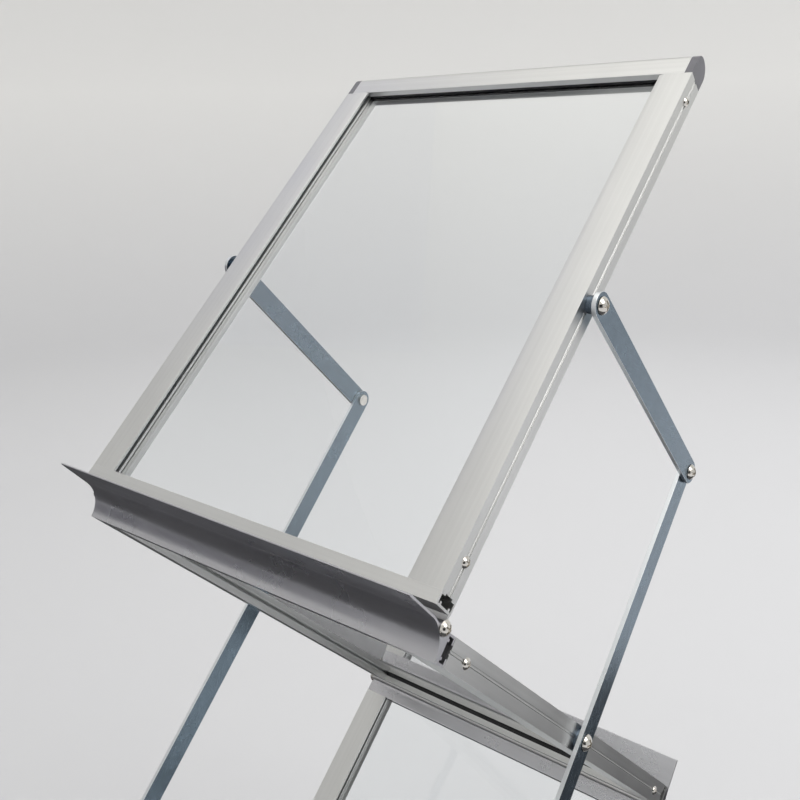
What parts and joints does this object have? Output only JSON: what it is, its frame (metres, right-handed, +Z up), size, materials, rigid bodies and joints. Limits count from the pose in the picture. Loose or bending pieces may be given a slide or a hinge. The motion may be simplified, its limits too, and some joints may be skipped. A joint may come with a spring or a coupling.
{
  "type": "folding zig-zag literature display stand",
  "caption": "Folding zig-zag display stand: hinged aluminium frames with clear panels and curved lips, crossed link bars at both sides and a low base.",
  "frame": {"origin": "centre of the base's footprint on the table, under the feet", "axes": "+X to the right seen from the front, +Y to the back, +Z up; the front faces -Y"},
  "size_m": [0.2914, 0.4, 0.8028],
  "materials": {
    "frame_satin": "satin anodised",
    "lip_rail": "satin anodised, darker",
    "base_rail": "satin anodised",
    "bracket": "satin",
    "inner_block": "plain cast",
    "clear_panel": "clear acrylic",
    "seal_rubber": "soft black",
    "foot_rubber": "ribbed black",
    "black_plastic": "fine grain",
    "cap_plastic": "moulded grey",
    "link_zinc": "zinc plated",
    "spacer": "zinc plated, turned",
    "screw": "bright nickel plated"
  },
  "bodies": {
    "base": {"base_left_rail": "base_rail", "base_right_rail": "base_rail", "base_cross_tubes": "base_rail", "base_end_plugs": "black_plastic", "base_feet": "foot_rubber", "base_screws": "screw", "base_cross_blocks": "inner_block", "base_slot_plates": "link_zinc", "base_lip_brackets": "bracket", "base_lip_rail": "lip_rail"},
    "lower_frame": {"lower_left_stile": "frame_satin", "lower_right_stile": "frame_satin", "lower_lip_rail": "lip_rail", "lower_bottom_rail": "frame_satin", "lower_panel": "clear_panel", "lower_panel_seal": "seal_rubber", "lower_corner_keys": "inner_block", "lower_side_screws": "screw", "lower_pivot_spacers": "spacer", "lower_pivot_screws": "screw", "lower_pivot_nuts": "screw", "lower_hinge_screws": "screw"},
    "middle_frame": {"middle_left_stile": "frame_satin", "middle_right_stile": "frame_satin", "middle_lip_rail": "lip_rail", "middle_bottom_rail": "frame_satin", "middle_panel": "clear_panel", "middle_panel_seal": "seal_rubber", "middle_corner_keys": "inner_block", "middle_side_screws": "screw", "middle_pivot_spacers": "spacer", "middle_pivot_screws": "screw", "middle_pivot_nuts": "screw", "middle_hinge_screws": "screw"},
    "upper_frame": {"upper_left_stile": "frame_satin", "upper_right_stile": "frame_satin", "upper_top_rail": "frame_satin", "upper_bottom_rail": "frame_satin", "upper_panel": "clear_panel", "upper_panel_seal": "seal_rubber", "upper_corner_keys": "inner_block", "upper_side_screws": "screw", "upper_pivot_spacers": "spacer", "upper_pivot_screws": "screw", "upper_pivot_nuts": "screw", "upper_hinge_screws": "screw", "upper_end_caps": "cap_plastic"},
    "lower_link_left": {"lower_left_link": "link_zinc", "left_slide_pin": "screw"},
    "lower_link_right": {"lower_right_link": "link_zinc", "right_slide_pin": "screw"},
    "long_link_left": {"long_left_link": "link_zinc", "left_link_rivets": "screw"},
    "long_link_right": {"long_right_link": "link_zinc", "right_link_rivets": "screw"},
    "upper_link_left": {"upper_left_link": "link_zinc"},
    "upper_link_right": {"upper_right_link": "link_zinc"}
  },
  "joints": [
    {"name": "fold", "type": "hinge", "parent": "base", "child": "lower_frame", "pos_m": [0, -0.176, 0.044], "axis": [-1, 0, 0], "range_deg": [0, 43]},
    {"name": "rear_hinge", "type": "hinge", "parent": "lower_frame", "child": "middle_frame", "pos_m": [0, 0.07253, 0.29654], "axis": [1, 0, 0], "range_deg": [0, 87]},
    {"name": "front_hinge", "type": "hinge", "parent": "middle_frame", "child": "upper_frame", "pos_m": [0, -0.176, 0.54909], "axis": [-1, 0, 0], "range_deg": [0, 87]},
    {"name": "lower_link_left_pivot", "type": "hinge", "parent": "lower_frame", "child": "lower_link_left", "pos_m": [0, -0.05173, 0.17027], "axis": [1, 0, 0], "range_deg": [0, 87]},
    {"name": "long_link_left_pivot", "type": "hinge", "parent": "middle_frame", "child": "long_link_left", "pos_m": [0, -0.05173, 0.42282], "axis": [-1, 0, 0], "range_deg": [0, 87]},
    {"name": "upper_link_left_pivot", "type": "hinge", "parent": "upper_frame", "child": "upper_link_left", "pos_m": [0, -0.05173, 0.67536], "axis": [1, 0, 0], "range_deg": [0, 87]},
    {"name": "lower_link_right_pivot", "type": "hinge", "parent": "lower_frame", "child": "lower_link_right", "pos_m": [0, -0.05173, 0.17027], "axis": [1, 0, 0], "range_deg": [0, 87]},
    {"name": "long_link_right_pivot", "type": "hinge", "parent": "middle_frame", "child": "long_link_right", "pos_m": [0, -0.05173, 0.42282], "axis": [-1, 0, 0], "range_deg": [0, 87]},
    {"name": "upper_link_right_pivot", "type": "hinge", "parent": "upper_frame", "child": "upper_link_right", "pos_m": [0, -0.05173, 0.67536], "axis": [1, 0, 0], "range_deg": [0, 87]}
  ],
  "couplings": [
    {"joint": "rear_hinge", "follows": "fold", "ratio": 2},
    {"joint": "front_hinge", "follows": "fold", "ratio": 2},
    {"joint": "lower_link_left_pivot", "follows": "fold", "ratio": 2},
    {"joint": "long_link_left_pivot", "follows": "fold", "ratio": 2},
    {"joint": "upper_link_left_pivot", "follows": "fold", "ratio": 2},
    {"joint": "lower_link_right_pivot", "follows": "fold", "ratio": 2},
    {"joint": "long_link_right_pivot", "follows": "fold", "ratio": 2},
    {"joint": "upper_link_right_pivot", "follows": "fold", "ratio": 2}
  ]
}
